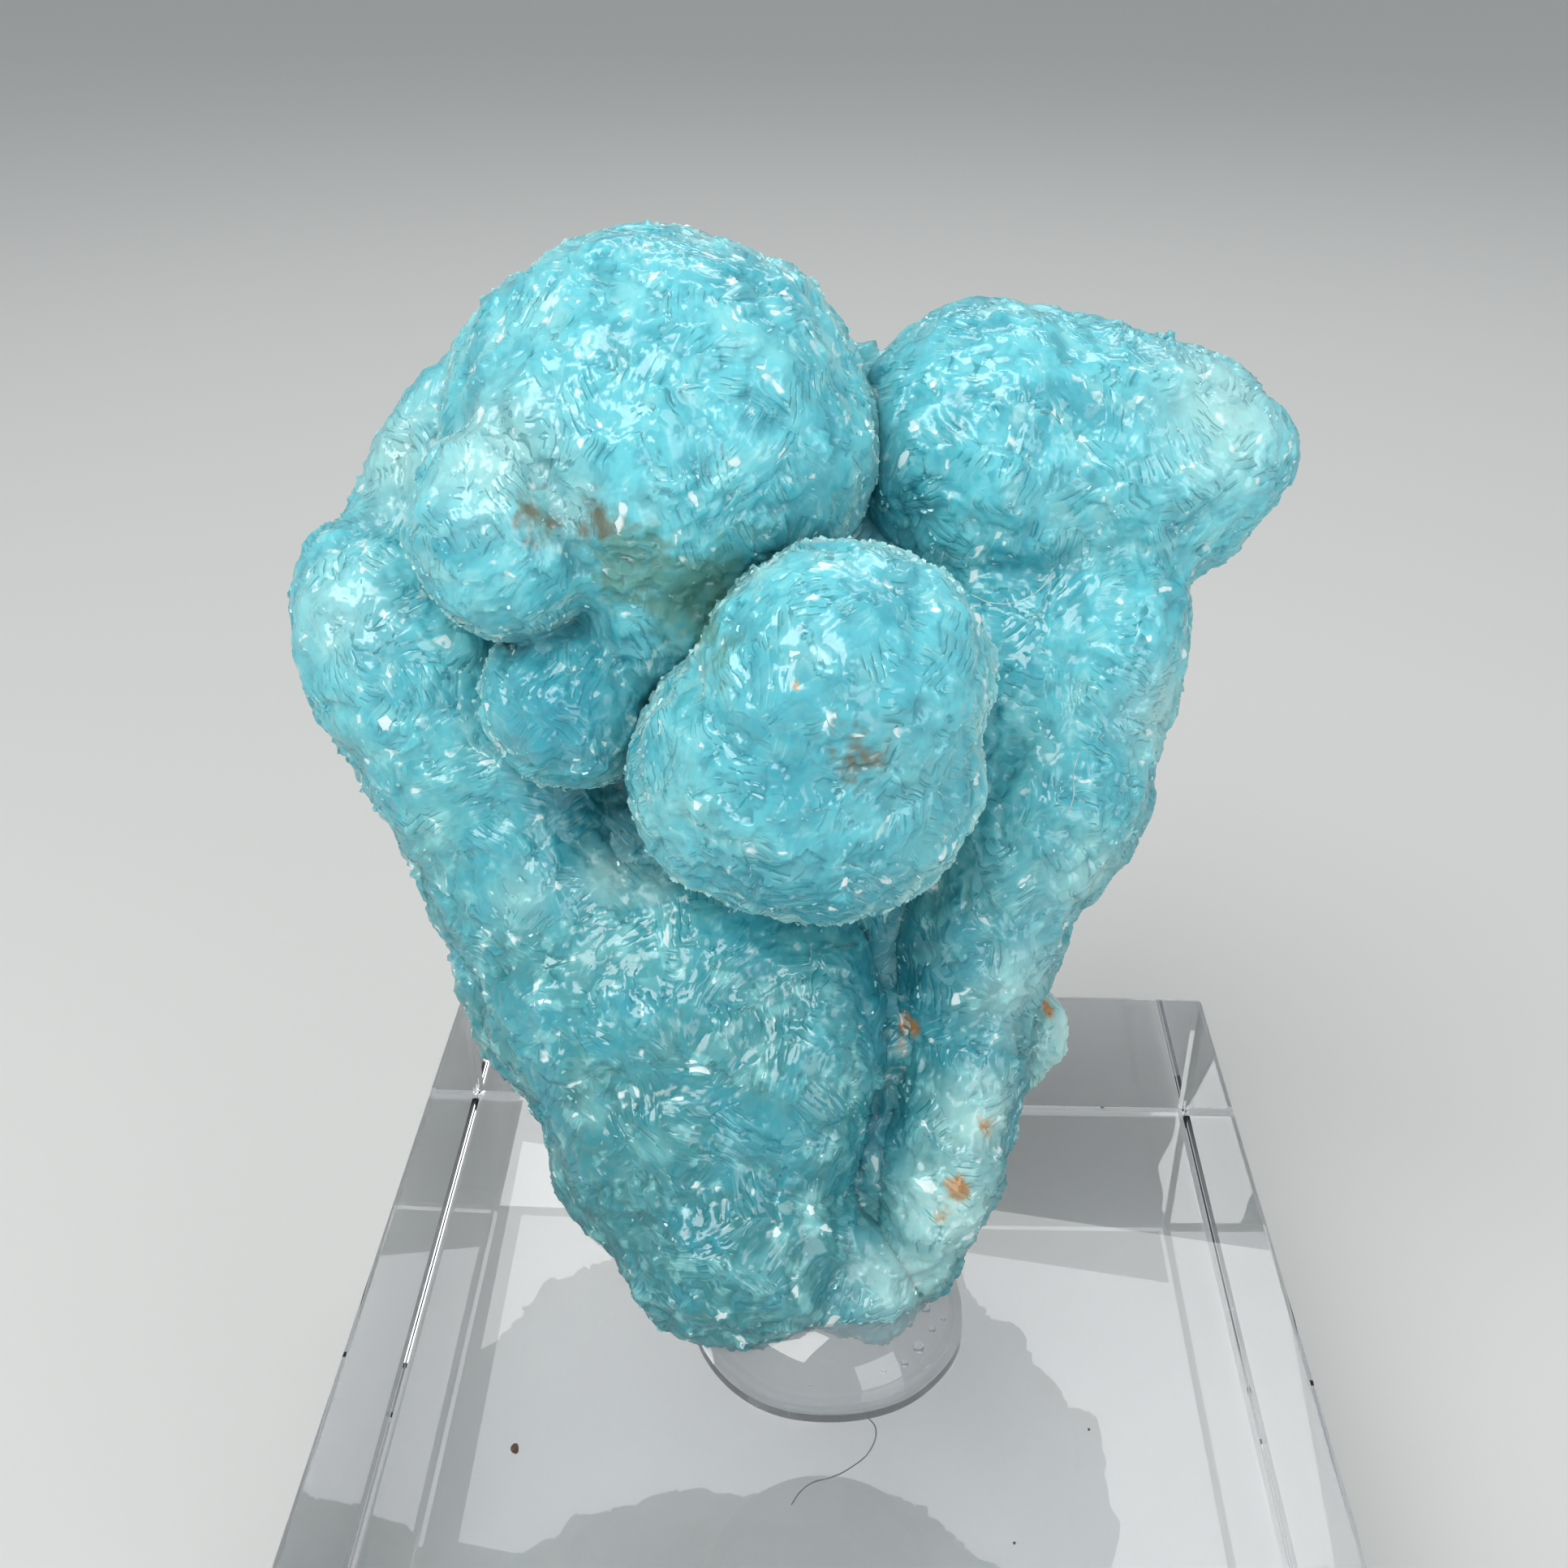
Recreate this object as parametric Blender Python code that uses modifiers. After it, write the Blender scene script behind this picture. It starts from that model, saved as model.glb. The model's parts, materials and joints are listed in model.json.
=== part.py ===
"""Blue hemimorphite specimen, fixed with a dab of clear gel on a clear acrylic display block.

Frame: origin at the centre of the block's underside, +Z up, +Y away from the viewer.
Sizes are in millimetres, turned into Blender's metres by MM.
"""

import math

import bmesh
import bpy
from mathutils import Euler, Matrix, Vector

MM = 0.001

# Driving sizes of the display block and the gel
BLOCK_SIDE = 50.0
BLOCK_HEIGHT = 20.0
BLOCK_EDGE = 0.4
EDGE_SEGMENTS = 2
GEL_RADIUS = 7.2
GEL_HEIGHT = 4.6
GEL_CENTRE = (0.2, -2.6)
GAP = 0.3

# The gel's profile is a quarter of a superellipse: an exponent of 2 is an ellipse, and more is squarer
GEL_SQUARENESS = 2.6
GEL_PROFILE_STEPS = 14
GEL_TURN_STEPS = 40

# The specimen has its own frame: U to the right, V up its face, W out of its face towards the viewer.
# It leans back on the gel. V = 0 is just above its foot, which is broken off level at the height FOOT_CUT.
LEAN = math.radians(25.0)
SPECIMEN_FOOT = (1.0, -4.5, 23.5)
FOOT_CUT = 21.7
SLAB_BACK = -9.0
SLAB_FRONT = 0.4
SLAB_ROUND = 2.8
SLAB_ROUND_STEPS = 4
OUTLINE_STEPS = 4
LOBE_SEGMENTS = 32
LOBE_RINGS = 20

# How the lobes grow together: the grid they are joined on, and how far their valleys are softened
VOXEL = 0.75
VALLEY_SOFTNESS = 0.5
VALLEY_PASSES = 4
SPECIMEN_TRIANGLES = 8600
WELD = 0.01

# Uneven growth, as name: (size of the lumps, their height from top to bottom, Blender's noise)
GROWTH = {
    "broad lumps": (5.0, 1.1, "ORIGINAL_PERLIN"),
    "druse lumps": (1.6, 0.5, "BLENDER_ORIGINAL"),
}

# Colour, roughness, transmission and refractive index of each finish
FINISHES = {
    "hemimorphite": ((0.23, 0.66, 0.74), 0.25, 0.0, 1.61),
    "clear gel": ((0.95, 0.97, 0.97), 0.03, 1.0, 1.41),
    "clear acrylic": ((1.0, 1.0, 1.0), 0.02, 1.0, 1.49),
}

# Outline of the crust that the lobes grow on, down its left edge and up its right edge, as (U, V)
CRUST_OUTLINE = [
    (-16.4, 49.6),
    (-19.0, 47.2),
    (-21.8, 43.8),
    (-24.4, 40.2),
    (-27.2, 37.0),
    (-27.8, 33.4),
    (-27.4, 29.4),
    (-25.2, 25.4),
    (-22.8, 20.8),
    (-21.0, 16.6),
    (-19.4, 12.4),
    (-16.0, 7.6),
    (-13.0, 3.0),
    (-11.2, -0.2),
    (-7.4, -2.4),
    (-2.6, -2.2),
    (2.4, -1.8),
    (5.4, 0.8),
    (7.0, 4.6),
    (8.0, 9.4),
    (9.4, 12.6),
    (10.0, 17.0),
    (11.8, 20.6),
    (13.6, 25.6),
    (16.6, 31.0),
    (16.4, 36.4),
    (19.8, 38.6),
    (19.2, 43.4),
    (18.2, 46.4),
    (12.2, 48.0),
    (6.0, 48.8),
    (0.4, 47.6),
    (-4.0, 49.2),
    (-9.0, 51.2),
    (-13.4, 51.2),
]

# Each lobe: centre (U, V, W), radii along U, V and W, and its turn on the face in degrees, clockwise
LOBES = {
    "great_ball": ((-9.5, 42.3, 3.0), (10.2, 9.6, 9.4), 0),
    "hanging_ball": ((-15.6, 38.1, 6.2), (4.3, 5.1, 5.0), 8),
    "small_ball": ((-13.1, 30.1, 4.2), (4.4, 4.1, 4.8), 0),
    "front_ball": ((-2.0, 28.9, 8.6), (7.8, 8.2, 7.8), 0),
    "dark_bridge": ((-9.1, 34.5, 4.0), (4.2, 4.2, 4.8), 0),
    "left_ridge": ((-21.4, 40.8, -2.6), (3.4, 8.6, 4.8), 27),
    "left_pillow": ((-22.9, 31.9, -0.4), (5.0, 6.5, 6.0), -34),
    "left_waist": ((-18.3, 23.2, -0.8), (4.4, 6.6, 5.4), -22),
    "wedge_top": ((-9.5, 13.8, -0.6), (10.1, 7.6, 7.4), 0),
    "wedge_middle": ((-7.0, 7.9, -0.8), (8.3, 7.9, 7.2), -18),
    "wedge_side": ((-2.3, 11.8, -1.6), (4.2, 9.2, 6.6), 6),
    "foot_tip": ((-5.4, 2.8, -0.8), (6.7, 5.9, 6.4), 0),
    "foot_sill": ((0.6, 0.7, -2.2), (4.3, 3.8, 5.2), 0),
    "right_pillow": ((6.5, 42.9, -0.6), (7.5, 7.1, 7.2), 0),
    "right_crest": ((11.5, 44.4, -1.6), (5.2, 4.4, 5.6), 0),
    "right_snout": ((14.6, 42.6, -1.4), (5.7, 5.5, 6.0), 0),
    "right_fill": ((7.7, 32.0, -2.0), (6.1, 8.2, 5.8), 0),
    "right_shaft": ((11.8, 33.7, -1.4), (4.7, 6.9, 5.8), 0),
    "right_column": ((10.3, 25.9, -1.4), (4.4, 7.7, 6.2), 22),
    "right_waist": ((8.1, 18.6, -1.8), (3.2, 6.8, 5.4), 20),
    "right_foot": ((5.3, 8.0, -1.6), (3.3, 9.4, 5.2), 12),
    "right_flake": ((9.4, 12.1, -5.0), (1.8, 2.9, 2.0), 8),
}


def clear_scene():
    for obj in list(bpy.data.objects):
        bpy.data.objects.remove(obj)


def collection(name):
    made = bpy.data.collections.new(name)
    bpy.context.scene.collection.children.link(made)
    return made


def put_in(obj, home):
    for old in list(obj.users_collection):
        old.objects.unlink(obj)
    home.objects.link(obj)
    return obj


def material(name):
    colour, roughness, transmission, ior = FINISHES[name]
    made = bpy.data.materials.new(name)
    made.use_nodes = True
    shader = made.node_tree.nodes["Principled BSDF"]
    shader.inputs["Base Color"].default_value = (*colour, 1.0)
    shader.inputs["Roughness"].default_value = roughness
    shader.inputs["Metallic"].default_value = 0.0
    shader.inputs["Transmission Weight"].default_value = transmission
    shader.inputs["IOR"].default_value = ior
    return made


def applied(obj):
    """The object's shape as the viewport shows it, as a plain mesh in its own frame."""
    graph = bpy.context.evaluated_depsgraph_get()
    mesh = bpy.data.meshes.new_from_object(obj.evaluated_get(graph))
    weld = bmesh.new()
    weld.from_mesh(mesh)
    bmesh.ops.remove_doubles(weld, verts=weld.verts, dist=WELD * MM)
    weld.to_mesh(mesh)
    weld.free()
    return mesh


def largest_body(mesh):
    """Keeps only the biggest connected body of a mesh, without the crumbs that a cut leaves."""
    shape = bmesh.new()
    shape.from_mesh(mesh)
    left = set(shape.verts)
    bodies = []
    while left:
        body = set()
        to_visit = [left.pop()]
        while to_visit:
            vert = to_visit.pop()
            body.add(vert)
            near = {edge.other_vert(vert) for edge in vert.link_edges} & left
            left -= near
            to_visit.extend(near)
        bodies.append(body)
    bodies.sort(key=len)
    crumbs = [vert for body in bodies[:-1] for vert in body]
    bmesh.ops.delete(shape, geom=crumbs, context="VERTS")
    shape.to_mesh(mesh)
    shape.free()


def face_point(u, v, w):
    """A point of the specimen's own frame, before it leans back."""
    return Vector((u, -w, v)) * MM


def crust_slab():
    """The flat crust behind the lobes: its outline extruded, with round edges."""
    curve = bpy.data.curves.new("crust_outline", "CURVE")
    curve.dimensions = "2D"
    curve.fill_mode = "BOTH"
    curve.resolution_u = OUTLINE_STEPS
    line = curve.splines.new("BEZIER")
    line.bezier_points.add(len(CRUST_OUTLINE) - 1)
    for knot, (u, v) in zip(line.bezier_points, CRUST_OUTLINE):
        knot.co = (u * MM, v * MM, 0)
        knot.handle_left_type = knot.handle_right_type = "AUTO"
    line.use_cyclic_u = True
    curve.bevel_depth = SLAB_ROUND * MM
    curve.bevel_resolution = SLAB_ROUND_STEPS
    curve.offset = -SLAB_ROUND * MM
    curve.extrude = ((SLAB_FRONT - SLAB_BACK) / 2 - SLAB_ROUND) * MM
    obj = bpy.data.objects.new("crust_outline", curve)
    bpy.context.scene.collection.objects.link(obj)
    bpy.context.view_layer.update()
    mesh = applied(obj)
    bpy.data.objects.remove(obj)
    stand_up = Matrix.Rotation(math.radians(90), 4, "X")
    mesh.transform(Matrix.Translation(face_point(0, 0, (SLAB_FRONT + SLAB_BACK) / 2)) @ stand_up)
    return mesh


def lobe_mesh(centre, radii, turn):
    """One rounded lobe, as a sphere stretched to its three radii and turned on the face."""
    lobe = bmesh.new()
    bmesh.ops.create_uvsphere(lobe, u_segments=LOBE_SEGMENTS, v_segments=LOBE_RINGS, radius=1.0)
    along_u, along_v, along_w = (r * MM for r in radii)
    stretch = Matrix.Diagonal((along_u, along_w, along_v, 1.0))
    lobe.transform(
        Matrix.Translation(face_point(*centre))
        @ Matrix.Rotation(math.radians(turn), 4, "Y")
        @ stretch
    )
    mesh = bpy.data.meshes.new("lobe")
    lobe.to_mesh(mesh)
    lobe.free()
    return mesh


def break_foot(shape):
    """Cuts a closed shape off level where the specimen would reach below its foot."""
    level = Matrix.Rotation(LEAN, 3, "X") @ Vector((0, 0, 1))
    depth = (FOOT_CUT - SPECIMEN_FOOT[2]) * MM
    geometry = shape.verts[:] + shape.edges[:] + shape.faces[:]
    cut = bmesh.ops.bisect_plane(
        shape, geom=geometry, plane_co=level * depth, plane_no=level, clear_inner=True
    )
    rim = [part for part in cut["geom_cut"] if isinstance(part, bmesh.types.BMEdge)]
    if rim:
        bmesh.ops.holes_fill(shape, edges=rim)


def lumps(name, size, basis):
    texture = bpy.data.textures.new(name, "CLOUDS")
    texture.noise_scale = size * MM
    texture.noise_depth = 1
    texture.noise_basis = basis
    return texture


def hemimorphite(home):
    """The specimen: the crust and its lobes grown together into one solid."""
    shape = bmesh.new()
    for mesh in [crust_slab()] + [lobe_mesh(*lobe) for lobe in LOBES.values()]:
        shape.from_mesh(mesh)
        bpy.data.meshes.remove(mesh)
    break_foot(shape)
    mesh = bpy.data.meshes.new("hemimorphite")
    shape.to_mesh(mesh)
    shape.free()
    obj = bpy.data.objects.new("hemimorphite", mesh)
    home.objects.link(obj)

    grown = obj.modifiers.new("grown together", "REMESH")
    grown.mode = "VOXEL"
    grown.voxel_size = VOXEL * MM
    soft = obj.modifiers.new("soft valleys", "SMOOTH")
    soft.factor = VALLEY_SOFTNESS
    soft.iterations = VALLEY_PASSES
    for name, (size, height, basis) in GROWTH.items():
        bumps = obj.modifiers.new(name, "DISPLACE")
        bumps.texture = lumps(name, size, basis)
        bumps.texture_coords = "LOCAL"
        bumps.strength = height * MM
        bumps.mid_level = 0.5
    bpy.context.view_layer.update()
    full = obj.evaluated_get(bpy.context.evaluated_depsgraph_get()).to_mesh()
    full.calc_loop_triangles()
    fewer = obj.modifiers.new("fewer faces", "DECIMATE")
    fewer.ratio = SPECIMEN_TRIANGLES / len(full.loop_triangles)

    solid = applied(obj)
    obj.modifiers.clear()
    obj.data = solid
    solid.name = "hemimorphite"
    obj.location = Vector(SPECIMEN_FOOT) * MM
    obj.rotation_euler = Euler((-LEAN, 0, 0))
    solid.materials.append(material("hemimorphite"))
    solid.shade_smooth()
    return obj


def gel_dab(home, cutters, specimen):
    """The clear gel under the foot: a turned dome, cut where the specimen sinks into it."""
    points = []
    for i in range(GEL_PROFILE_STEPS + 1):
        angle = math.pi / 2 * (1 - i / GEL_PROFILE_STEPS)
        out = math.cos(angle) ** (2 / GEL_SQUARENESS) if i else 0.0
        up = max(math.sin(angle), 0.0) ** (2 / GEL_SQUARENESS)
        points.append((GEL_RADIUS * out, GEL_HEIGHT * up))
    points.append((0.0, 0.0))
    mesh = bpy.data.meshes.new("gel")
    mesh.from_pydata(
        [(r * MM, 0, z * MM) for r, z in points],
        [(i, i + 1) for i in range(len(points) - 1)],
        [],
    )
    obj = bpy.data.objects.new("gel_dab", mesh)
    home.objects.link(obj)
    obj.location = Vector((*GEL_CENTRE, BLOCK_HEIGHT + GAP)) * MM
    turned = obj.modifiers.new("turned", "SCREW")
    turned.steps = turned.render_steps = GEL_TURN_STEPS
    turned.use_merge_vertices = True
    turned.merge_threshold = WELD * MM

    socket = specimen.copy()
    socket.data = specimen.data.copy()
    socket.name = "gel_socket"
    cutters.objects.link(socket)
    socket.hide_render = True
    socket.display_type = "WIRE"
    clearance = socket.modifiers.new("clearance", "DISPLACE")
    clearance.strength = GAP * MM
    clearance.mid_level = 0.0
    sink = obj.modifiers.new("sink", "BOOLEAN")
    sink.operation = "DIFFERENCE"
    sink.object = socket
    bpy.context.view_layer.update()
    solid = applied(obj)
    largest_body(solid)
    obj.modifiers.clear()
    obj.data = solid
    solid.name = "gel_dab"
    solid.materials.append(material("clear gel"))
    return obj


def acrylic_block(home):
    """The display block: a square slab of clear acrylic with fine polished edges."""
    bpy.ops.mesh.primitive_cube_add(size=1.0)
    obj = put_in(bpy.context.object, home)
    obj.name = "acrylic_block"
    size = Vector((BLOCK_SIDE, BLOCK_SIDE, BLOCK_HEIGHT)) * MM
    obj.data.transform(Matrix.Diagonal((*size, 1.0)))
    obj.location = (0, 0, BLOCK_HEIGHT * MM / 2)
    edge = obj.modifiers.new("polished edges", "BEVEL")
    edge.width = BLOCK_EDGE * MM
    edge.segments = EDGE_SEGMENTS
    obj.data.materials.append(material("clear acrylic"))
    return obj


def build():
    clear_scene()
    parts = collection("hemimorphite_on_block")
    cutters = collection("cutters")
    acrylic_block(parts)
    specimen = hemimorphite(parts)
    gel_dab(parts, cutters, specimen)


build()
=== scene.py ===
"""Looks of a blue hemimorphite specimen, held by a dab of clear gel on a clear acrylic display block.

Sizes are in millimetres unless a comment says otherwise, and MM turns them into Blender's metres. Every
piece is made where the frame has it.
"""

import json
import math
import random

import bmesh
import bpy
import numpy as np
from bpy.props import FloatProperty, FloatVectorProperty, IntProperty, PointerProperty
from mathutils import Matrix, Vector, noise

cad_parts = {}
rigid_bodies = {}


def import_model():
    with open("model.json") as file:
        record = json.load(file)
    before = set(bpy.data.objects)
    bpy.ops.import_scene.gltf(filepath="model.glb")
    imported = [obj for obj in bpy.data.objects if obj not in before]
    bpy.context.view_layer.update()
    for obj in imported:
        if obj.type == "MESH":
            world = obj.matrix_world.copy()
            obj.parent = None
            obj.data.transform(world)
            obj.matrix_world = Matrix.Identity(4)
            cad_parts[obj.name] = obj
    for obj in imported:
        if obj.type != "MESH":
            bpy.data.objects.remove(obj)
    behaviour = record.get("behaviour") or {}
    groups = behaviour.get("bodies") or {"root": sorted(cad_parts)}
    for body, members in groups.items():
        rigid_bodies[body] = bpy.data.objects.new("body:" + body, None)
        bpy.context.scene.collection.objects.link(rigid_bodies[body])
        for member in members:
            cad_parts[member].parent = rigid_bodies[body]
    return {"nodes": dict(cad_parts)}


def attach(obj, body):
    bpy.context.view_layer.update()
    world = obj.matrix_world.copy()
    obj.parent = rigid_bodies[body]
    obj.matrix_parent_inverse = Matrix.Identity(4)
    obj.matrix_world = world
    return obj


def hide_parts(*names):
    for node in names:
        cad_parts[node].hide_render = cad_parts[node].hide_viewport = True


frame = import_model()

bl_info = {
    "name": "Hemimorphite on a display block",
    "version": (1, 0, 0),
    "blender": (4, 5, 0),
    "location": "3D View > Sidebar > Mineral",
    "description": "Makes the crust and druse, the matrix, the gel, the clear block and the studio",
    "category": "Add Mesh",
}

MM = 0.001

# The specimen's own frame, as in the part: U to the right, V up its face, W out of its face
LEAN = math.radians(25.0)
SPECIMEN_FOOT = Vector((1.0, -4.5, 23.5)) * MM
FOOT_CUT = 21.7
SLAB_BACK = -9.0
SLAB_FRONT = 0.4
SLAB_ROUND = 2.8

# Outline of the matrix that the lobes grow on, down its left edge and up its right edge, as (U, V)
CRUST_OUTLINE = (
    (-16.4, 49.6), (-19.0, 47.2), (-21.8, 43.8), (-24.4, 40.2), (-27.2, 37.0), (-27.8, 33.4), (-27.4, 29.4),
    (-25.2, 25.4), (-22.8, 20.8), (-21.0, 16.6), (-19.4, 12.4), (-16.0, 7.6), (-13.0, 3.0), (-11.2, -0.2),
    (-7.4, -2.4), (-2.6, -2.2), (2.4, -1.8), (5.4, 0.8), (7.0, 4.6), (8.0, 9.4), (9.4, 12.6), (10.0, 17.0),
    (11.8, 20.6), (13.6, 25.6), (16.6, 31.0), (16.4, 36.4), (19.8, 38.6), (19.2, 43.4), (18.2, 46.4),
    (12.2, 48.0), (6.0, 48.8), (0.4, 47.6), (-4.0, 49.2), (-9.0, 51.2), (-13.4, 51.2),
)

# Each lobe: centre (U, V, W), radii along U, V and W, and its turn on the face in degrees, clockwise
LOBES = {
    "great_ball": ((-9.5, 42.3, 3.0), (10.2, 9.6, 9.4), 0),
    "hanging_ball": ((-15.7, 37.9, 7.4), (4.3, 5.0, 5.2), 8),
    "small_ball": ((-13.1, 30.1, 4.2), (4.4, 4.1, 4.8), 0),
    "front_ball": ((-2.1, 27.5, 8.0), (7.9, 6.9, 7.4), 0),
    "front_dome": ((-0.8, 31.0, 9.6), (6.6, 6.6, 6.9), 0),
    "dark_bridge": ((-9.1, 34.5, 4.0), (4.2, 4.2, 4.8), 0),
    "left_ridge": ((-21.4, 40.8, -2.6), (3.4, 8.6, 4.8), 27),
    "left_pillow": ((-22.4, 32.2, -0.8), (5.5, 7.6, 5.4), -28),
    "left_flank": ((-18.8, 27.0, -1.6), (6.2, 9.0, 5.2), -26),
    "left_waist": ((-16.4, 21.0, -2.2), (5.6, 8.2, 5.0), -20),
    "wedge_top": ((-9.6, 14.6, -1.8), (9.6, 7.8, 6.2), -8),
    "wedge_middle": ((-7.4, 8.4, -1.4), (8.4, 8.6, 6.2), -18),
    "wedge_side": ((-2.3, 11.8, -1.6), (4.2, 9.2, 6.6), 6),
    "foot_tip": ((-5.4, 2.8, -0.8), (6.7, 5.9, 6.4), 0),
    "foot_sill": ((0.6, 0.7, -2.2), (4.3, 3.8, 5.2), 0),
    "right_pillow": ((6.6, 42.7, -0.6), (7.5, 7.0, 7.0), 0),
    "right_crest": ((10.6, 42.6, -0.8), (10.4, 6.2, 6.6), 4),
    "right_snout": ((15.0, 41.8, -1.4), (5.5, 5.5, 6.0), 0),
    "right_fill": ((7.7, 32.0, -2.0), (6.1, 8.2, 5.8), 0),
    "right_shaft": ((11.8, 33.7, -1.4), (4.7, 6.9, 5.8), 0),
    "right_column": ((9.4, 25.9, -1.4), (5.3, 7.9, 5.8), 20),
    "right_waist": ((6.5, 18.8, -2.0), (4.7, 7.6, 5.1), 16),
    "right_foot": ((5.1, 8.0, -1.6), (3.5, 9.6, 4.8), 12),
    "right_flake": ((9.4, 12.1, -5.0), (1.8, 2.9, 2.0), 8),
}

# The lobes that run smoothly into each other, the grid of each group and how soft its valleys are
GROUPS = {
    "balls": (("great_ball", "hanging_ball", "small_ball", "dark_bridge"), 0.155, 0.9),
    "front_balls": (("front_ball", "front_dome"), 0.155, 0.9),
    "lower_crust": (
        (
            "left_ridge", "left_pillow", "left_flank", "left_waist", "wedge_top", "wedge_middle",
            "wedge_side", "foot_tip", "foot_sill",
        ),
        0.19,
        2.4,
    ),
    "right_crust": (
        (
            "right_pillow", "right_crest", "right_snout", "right_fill", "right_shaft",
            "right_column", "right_waist", "right_foot",
        ),
        0.18,
        2.4,
    ),
    "right_flake": (("right_flake",), 0.12, 0.6),
}
MATRIX_VALLEY = 0.8
MATRIX_GRID = 0.26

# Uneven growth, as in the part: size of the lumps, their height and Blender's noise
GROWTH = {
    "broad lumps": (5.0, 1.1, "ORIGINAL_PERLIN"),
    "druse lumps": (1.6, 0.5, "BLENDER_ORIGINAL"),
}

# Block and gel, as in the part
BLOCK_TOP = 20.0
GEL_CENTRE = (0.2, -2.6)
GAP = 0.3

# The gel's dome: a little rounder than in the part, sunk a hair into the block and slightly uneven
GEL_SQUARENESS = 2.1
GEL_SINK = 0.03
GEL_UNEVEN = 0.035
GEL_RINGS = 22
GEL_TURNS = 112

# How strongly the bubbles bend light, and the share of its clearness that a full gloss takes
BUBBLE_INDEX = 1.25
GLOSS_SHARE = 0.14

# How far the floor lies below the block, and half the floor's width in metres
FLOOR_GAP = 0.2
FLOOR_HALF = 3.0

# Bubbles in the gel: X, Y, Z and radius
GEL_BUBBLES = (
    (4.6, -6.3, 21.6, 0.30), (5.3, -5.4, 21.9, 0.22), (3.9, -7.0, 21.3, 0.20), (5.0, -4.6, 22.4, 0.26),
    (4.2, -5.8, 22.6, 0.15), (5.8, -4.3, 21.4, 0.17), (2.9, -7.4, 21.2, 0.13), (-0.6, -8.3, 21.1, 0.10),
)

# Lint on the specimen as (U, V, W), a hair on the block as (X, Y, height), and grit as (X, Y, radius)
LINT = (
    ((5.2, 35.4, 3.5), (6.2, 35.0, 3.9), (7.4, 35.1, 4.1), (8.4, 35.7, 3.9), (8.9, 36.3, 3.6)),
    ((10.3, 28.2, 4.8), (10.0, 27.2, 5.2), (10.05, 26.2, 5.2), (9.7, 25.0, 5.0)),
)
HAIR = (
    (2.1, -9.3, 0.08), (2.6, -10.2, 0.25), (2.3, -11.4, 0.15), (1.4, -12.3, 0.08), (0.4, -13.0, 0.2),
    (-0.4, -13.2, 0.1), (-1.0, -13.7, 0.06), (-1.4, -14.4, 0.06),
)
GRIT = ((-14.9, -11.9, 0.22), (-12.2, -18.4, 0.06), (8.9, -16.0, 0.07), (13.1, -9.7, 0.06), (-8.1, 6.5, 0.06))

# Radii of the lint and of the hair, and the colours of the dirt
LINT_RADIUS = 0.022
HAIR_RADIUS = 0.035
LINT_COLOUR = (0.75, 0.78, 0.74)
HAIR_COLOUR = (0.20, 0.20, 0.19)
GRIT_COLOUR = (0.13, 0.08, 0.05)

# Camera, found from the block's edges in the photograph
CAMERA_PLACE = Vector((0.0, -62.9, 88.0)) * MM
CAMERA_YAW = math.radians(2.07)
CAMERA_PITCH = math.radians(30.53)

# The soft lights: place and size in metres, and colour; they all face one place
LIGHTS = {
    "key": ((-0.16, -0.20, 0.38), (0.30, 0.24), (1.0, 0.99, 0.97)),
    "fill": ((0.30, -0.38, 0.16), (0.30, 0.30), (0.95, 0.98, 1.0)),
    "rim": ((0.05, 0.30, 0.40), (0.34, 0.12), (1.0, 1.0, 1.0)),
}
LIT_PLACE = Vector((0.0, 0.0, 45.0)) * MM
ROOM_COLOUR = (0.93, 0.96, 1.0)

LOBE_SEGMENTS = 64
LOBE_RINGS = 40
CREVICE_REACH = 1.2

# Blades of the druse: the patches that share one lie, and how wide and how strongly their rows bend
BLADE_PATCH = 2.0
BEND_SIZE = 2.0
BEND = 0.7

# How many times longer than wide a blade is, its length in the colours and in the relief, and how far the
# blades stray from an even pattern, from 0 to 1
SQUEEZE = 3.0
BLADE_LENGTH = 0.85
RELIEF_LENGTH = 1.2
BLADE_SCATTER = 0.7

# From one fine groove to the next across the blades, and how steep the relief's facets are
BLADE_PITCH = 0.38
FACET_TILT = 2.4

# How much higher than the crust's the matrix's blades and steps are
MATRIX_BLADES = 2.0
MATRIX_STEPS = 2.4

# Milky and pale places on the specimen, some of them painted light that brightens the right foot and the
# lower right column where they lie in shade, as (U, V, W, radius, strength)
HAZE_AND_LIGHT_SPOTS = (
    (-15.4, 40.6, 11.2, 5.0, 0.8), (-12.6, 38.4, 11.8, 2.8, 0.75), (-12.1, 21.5, 1.2, 2.4, 0.9),
    (-9.8, 21.3, 1.8, 2.0, 0.7), (-16.0, 20.6, 2.0, 2.6, 0.5), (16.4, 44.0, 3.6, 5.8, 0.85),
    (-22.7, 41.7, 1.6, 4.8, 0.8), (5.2, 5.0, 3.0, 5.6, 1.0), (14.6, 30.0, 1.8, 4.4, 0.7),
    (6.6, 10.0, 3.0, 4.0, 0.9), (9.0, 16.0, 3.0, 4.6, 0.8), (11.4, 21.0, 3.4, 4.4, 0.6),
    (-24.4, 34.0, 3.0, 4.6, 0.6), (3.0, 1.5, 2.0, 4.5, 0.9),
)

# Clearer, deeper blue places
DEEP_SPOTS = (
    (-13.1, 30.1, 8.5, 7.0, 1.0), (-2.0, 22.0, 12.0, 6.5, 1.0), (-1.0, 30.0, 15.5, 7.5, 0.55),
    (-11.5, 25.0, 2.0, 7.5, 1.0), (1.8, 15.5, 0.8, 6.0, 1.0), (1.4, 8.0, 1.0, 4.0, 0.8),
    (-1.5, 38.0, 8.5, 6.0, 0.45), (1.5, 39.0, 4.0, 6.0, 0.5), (7.6, 36.4, 3.4, 5.5, 0.6),
    (3.0, 27.0, 12.0, 4.5, 0.5), (-6.0, 22.0, 6.0, 5.0, 0.7),
)
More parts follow.
